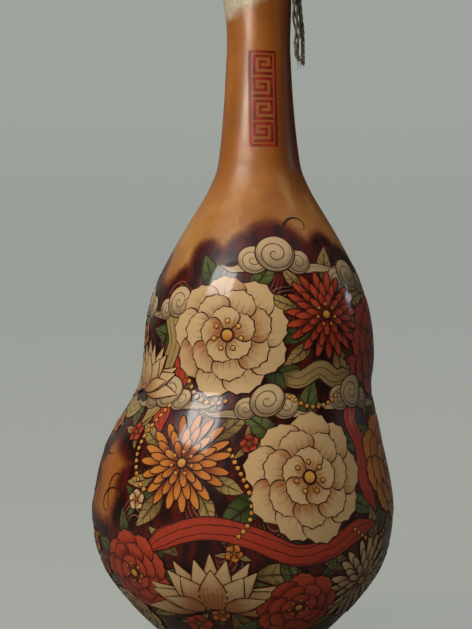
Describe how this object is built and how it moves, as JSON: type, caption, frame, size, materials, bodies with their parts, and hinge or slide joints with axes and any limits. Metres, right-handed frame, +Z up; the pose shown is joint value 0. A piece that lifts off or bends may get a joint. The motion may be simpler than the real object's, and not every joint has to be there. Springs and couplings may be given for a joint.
{
  "type": "burned gourd",
  "caption": "Dried long-necked bottle gourd with a burned and stained flower design, a woody stalk tied with twine and loose seeds inside. It stands as a folk ornament and rattles.",
  "frame": {"origin": "middle of the foot, on the surface that the gourd stands on", "axes": "+Z up from the foot to the stalk, -Y towards the side that the picture shows, +X to its right"},
  "size_m": [0.095, 0.095, 0.244],
  "materials": {
    "rind": "lacquered tan rind, scorched dark round a burned and stained design",
    "stalk": "dry ribbed wood",
    "pith": "dry fibrous pith",
    "twine": "grey-brown laid twine",
    "seed": "dry tan husk"
  },
  "bodies": {
    "gourd": {"gourd_shell": "rind", "stalk": "stalk", "neck_pith": "pith", "cord_binding": "twine", "cord_knot": "twine", "cord_tail_left": "twine", "cord_tail_right": "twine"},
    "loose_seeds": {"seed_01": "seed", "seed_02": "seed", "seed_03": "seed", "seed_04": "seed", "seed_05": "seed", "seed_06": "seed", "seed_07": "seed", "seed_08": "seed", "seed_09": "seed", "seed_10": "seed", "seed_11": "seed", "seed_12": "seed", "seed_13": "seed", "seed_14": "seed", "seed_15": "seed", "seed_16": "seed"}
  },
  "joints": [
    {"name": "seed_rattle", "type": "slide", "parent": "gourd", "child": "loose_seeds", "axis": [0, 0, 1], "range_m": [0, 0.045]}
  ]
}
